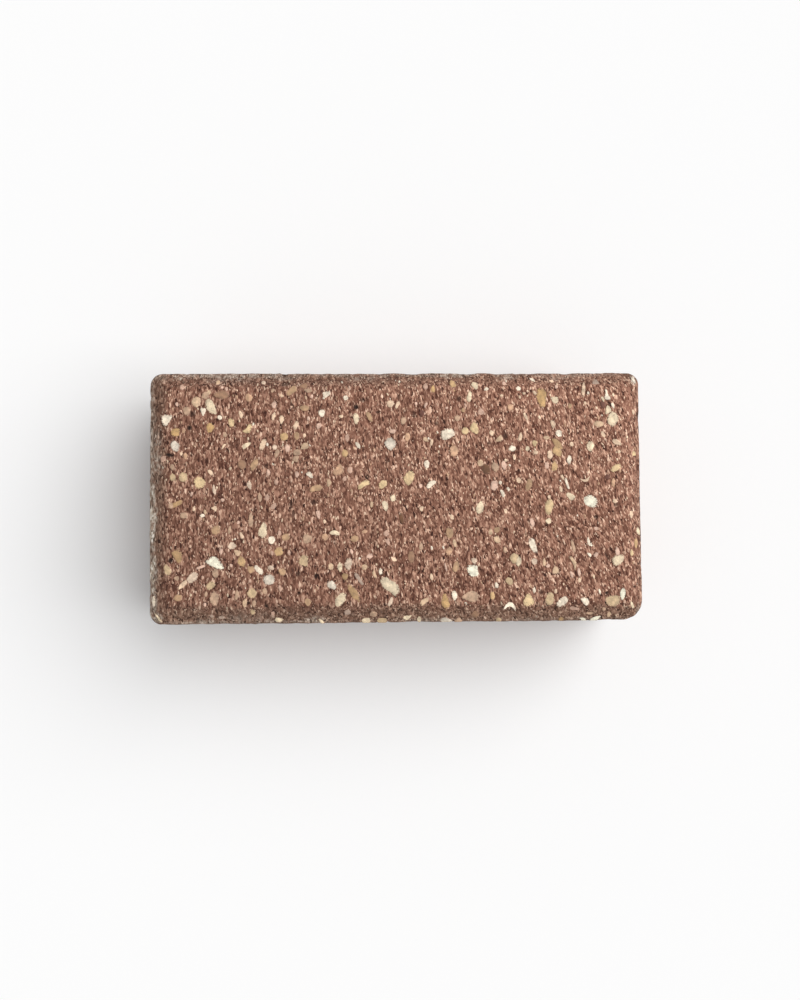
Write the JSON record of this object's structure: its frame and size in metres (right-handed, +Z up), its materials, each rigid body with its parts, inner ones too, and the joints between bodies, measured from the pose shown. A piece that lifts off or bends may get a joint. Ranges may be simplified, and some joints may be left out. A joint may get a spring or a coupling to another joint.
{
  "type": "concrete paving stone",
  "caption": "Rectangular pressed concrete paving stone with a bevelled upper edge, rounded corners and spacer nibs, with worn exposed aggregate on its walking face.",
  "frame": {"origin": "middle of the bedding face, on the ground", "axes": "+X along the length, +Y across the width, +Z up to the walking face"},
  "size_m": [0.203, 0.1046, 0.06],
  "materials": {
    "concrete": "worn, rough, with exposed pebbles and sand"
  },
  "bodies": {
    "root": {"paving_stone": "concrete"}
  },
  "joints": []
}
